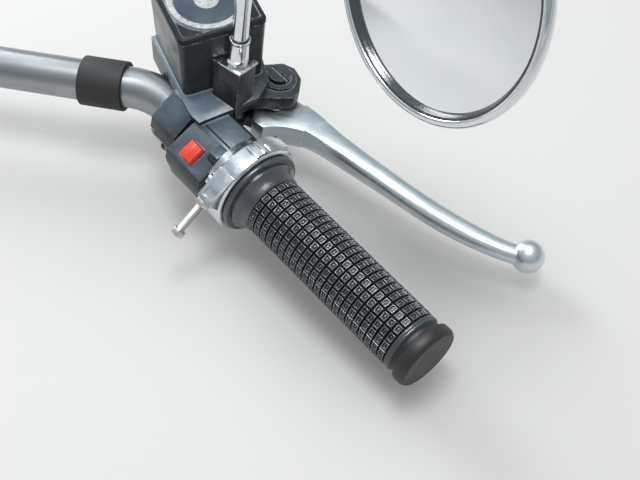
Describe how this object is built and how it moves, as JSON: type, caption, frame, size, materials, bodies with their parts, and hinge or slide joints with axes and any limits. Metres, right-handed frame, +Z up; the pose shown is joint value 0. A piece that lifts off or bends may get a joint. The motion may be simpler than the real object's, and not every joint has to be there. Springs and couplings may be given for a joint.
{
  "type": "motorcycle handlebar with controls",
  "caption": "Narrow motorcycle handlebar with quick-action twist grip, brake and clutch levers, fluid reservoir, switch boxes, waffle grips and round mirrors.",
  "frame": {"origin": "middle of the straight section that the yoke clamps hold, on the bar's axis", "axes": "+X to the rider's right, +Y forward, +Z up"},
  "size_m": [0.7484, 0.1837, 0.2412],
  "materials": {
    "bar_chrome": "chrome plated",
    "tape": "matt wrap",
    "black_cast": "satin black over cast alloy",
    "tank_black": "gloss black",
    "black_plastic": "satin black",
    "red_plastic": "orange red",
    "rubber": "matt black",
    "zinc": "zinc plated",
    "lever_alloy": "polished",
    "housing_chrome": "polished cast alloy",
    "chrome": "chrome plated",
    "mirror_glass": "mirror"
  },
  "bodies": {
    "handlebar": {"banjo_bolt": "zinc", "brake_clamp_cap": "black_cast", "brake_master_cylinder": "black_cast", "brake_pivot_bolt": "black_cast", "brake_reservoir": "tank_black", "clutch_adjuster": "zinc", "clutch_adjuster_wheel": "zinc", "clutch_clamp_cap": "black_cast", "clutch_perch": "black_cast", "clutch_pivot_bolt": "black_cast", "friction_nut": "zinc", "friction_screw": "zinc", "handlebar": "bar_chrome", "horn_button": "black_plastic", "kill_switch": "red_plastic", "left_grip": "rubber", "left_mirror_nut": "chrome", "left_mirror_plate": "black_cast", "left_switch_lower": "black_plastic", "left_switch_upper": "black_plastic", "light_switch": "black_plastic", "loom_tape": "tape", "piston_boot": "rubber", "reservoir_cap": "chrome", "reservoir_lid": "tank_black", "right_mirror_nut": "chrome", "right_mirror_plate": "black_cast", "right_switch_lower": "black_plastic", "right_switch_upper": "black_plastic", "throttle_housing_lower": "housing_chrome", "throttle_housing_upper": "housing_chrome"},
    "throttle": {"throttle_tube": "black_plastic", "right_grip": "rubber"},
    "brake_lever": {"brake_lever": "lever_alloy"},
    "clutch_lever": {"clutch_lever": "lever_alloy"},
    "right_mirror_arm": {"right_mirror_arm": "chrome"},
    "right_mirror_head": {"right_mirror_shell": "black_plastic", "right_mirror_rim": "chrome", "right_mirror_gasket": "rubber", "right_mirror_glass": "mirror_glass"},
    "left_mirror_arm": {"left_mirror_arm": "chrome"},
    "left_mirror_head": {"left_mirror_shell": "black_plastic", "left_mirror_rim": "chrome", "left_mirror_gasket": "rubber", "left_mirror_glass": "mirror_glass"}
  },
  "joints": [
    {"name": "throttle_twist", "type": "hinge", "parent": "handlebar", "child": "throttle", "pos_m": [0.23258, -0.05926, -0.00872], "axis": [0.8008, -0.5926, -0.0872], "range_deg": [0, 75], "stiffness_Nm_per_rad": 0.3},
    {"name": "brake_lever_pull", "type": "hinge", "parent": "handlebar", "child": "brake_lever", "pos_m": [0.21269, 0.01705, -0.01033], "axis": [-0.1522, -0.0605, -0.9865], "range_deg": [0, 17], "stiffness_Nm_per_rad": 4},
    {"name": "clutch_lever_pull", "type": "hinge", "parent": "handlebar", "child": "clutch_lever", "pos_m": [-0.22471, 0.00816, -0.01164], "axis": [-0.1522, 0.0605, 0.9865], "range_deg": [0, 17], "stiffness_Nm_per_rad": 4},
    {"name": "right_mirror_swivel", "type": "hinge", "parent": "handlebar", "child": "right_mirror_arm", "pos_m": [0.20159, -0.00833, 0.03727], "axis": [0.0984, 0.0984, 0.9903], "range_deg": [-20, 20]},
    {"name": "left_mirror_swivel", "type": "hinge", "parent": "handlebar", "child": "left_mirror_arm", "pos_m": [-0.2136, -0.01722, 0.03596], "axis": [0.0984, -0.0984, -0.9903], "range_deg": [-20, 20]},
    {"name": "right_mirror_tilt", "type": "hinge", "parent": "right_mirror_arm", "child": "right_mirror_head", "pos_m": [0.31812, -0.03118, 0.13266], "axis": [0.9105, -0.2306, 0.3432], "range_deg": [-15, 15]},
    {"name": "left_mirror_tilt", "type": "hinge", "parent": "left_mirror_arm", "child": "left_mirror_head", "pos_m": [-0.33013, -0.04007, 0.13135], "axis": [0.9105, 0.2306, -0.3432], "range_deg": [-15, 15]}
  ]
}
